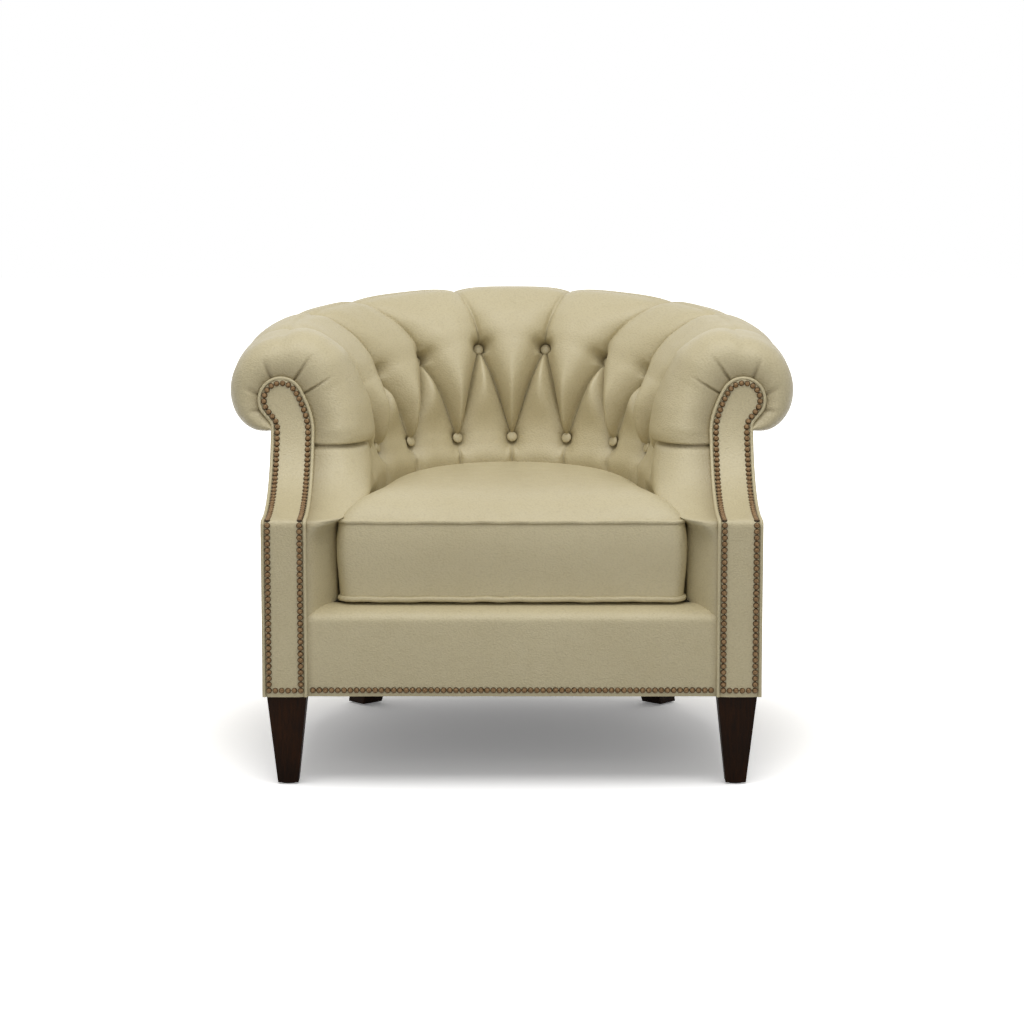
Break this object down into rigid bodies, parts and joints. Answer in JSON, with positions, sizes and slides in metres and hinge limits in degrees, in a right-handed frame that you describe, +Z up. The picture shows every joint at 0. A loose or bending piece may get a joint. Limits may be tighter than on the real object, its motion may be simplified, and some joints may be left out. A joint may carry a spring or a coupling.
{
  "type": "tufted leather tub armchair",
  "caption": "Low tub armchair in tufted leather with a rolled horseshoe back, swooping nail-trimmed arm fronts, a loose boxed seat cushion and tapered dark legs.",
  "frame": {"origin": "on the floor, under the middle of the chair's overall box", "axes": "+Z up, the sitter faces -Y, +X to the right as seen from in front"},
  "size_m": [0.95, 0.8564, 0.7757],
  "materials": {
    "leather": "pebbled, semi-matt",
    "deck_fabric": "plain woven",
    "foam": "open cell foam",
    "frame_wood": "sawn hardwood",
    "leg_wood": "dark satin stain",
    "nail_bronze": "antiqued",
    "steel": "plain",
    "zip_metal": "antiqued",
    "glide_plastic": "matt"
  },
  "bodies": {
    "chair": {"rolled_top_pad": "leather", "inside_back_pad": "leather", "arm_facing_left": "leather", "arm_facing_right": "leather", "facing_welt_left": "leather", "facing_welt_right": "leather", "front_rail_cover": "leather", "outside_cover": "leather", "tufting_buttons": "leather", "seat_deck": "deck_fabric", "seat_burlap": "deck_fabric", "dust_cover": "deck_fabric", "back_webbing": "deck_fabric", "button_twines": "deck_fabric", "front_rail": "frame_wood", "side_rail_left": "frame_wood", "side_rail_right": "frame_wood", "back_rail": "frame_wood", "corner_blocks": "frame_wood", "rear_leg_blocks": "frame_wood", "arm_post_left": "frame_wood", "arm_post_right": "frame_wood", "back_uprights": "frame_wood", "top_ring": "frame_wood", "leg_front_left": "leg_wood", "leg_front_right": "leg_wood", "leg_rear_left": "leg_wood", "leg_rear_right": "leg_wood", "facing_nails_left": "nail_bronze", "facing_nails_right": "nail_bronze", "front_rail_nails": "nail_bronze", "base_nails": "nail_bronze", "seat_springs": "steel", "spring_clips": "steel", "leg_hanger_bolts": "steel", "leg_tee_nuts": "steel", "foot_glides": "glide_plastic"},
    "cushion": {"cushion_cover": "leather", "cushion_core": "foam", "cushion_welt_lower": "leather", "cushion_welt_upper": "leather", "zip_tape": "deck_fabric", "zip_coil": "zip_metal"},
    "zip_slider": {"zip_slider": "zip_metal"}
  },
  "joints": [
    {"name": "cushion_lift_out", "type": "slide", "parent": "chair", "child": "cushion", "axis": [0, -0.9063, 0.4226], "range_m": [0, 0.6]},
    {"name": "zip_travel", "type": "hinge", "parent": "cushion", "child": "zip_slider", "pos_m": [0, -0.0468, 0.37], "axis": [0, 0, 1], "range_deg": [0, 80]}
  ]
}
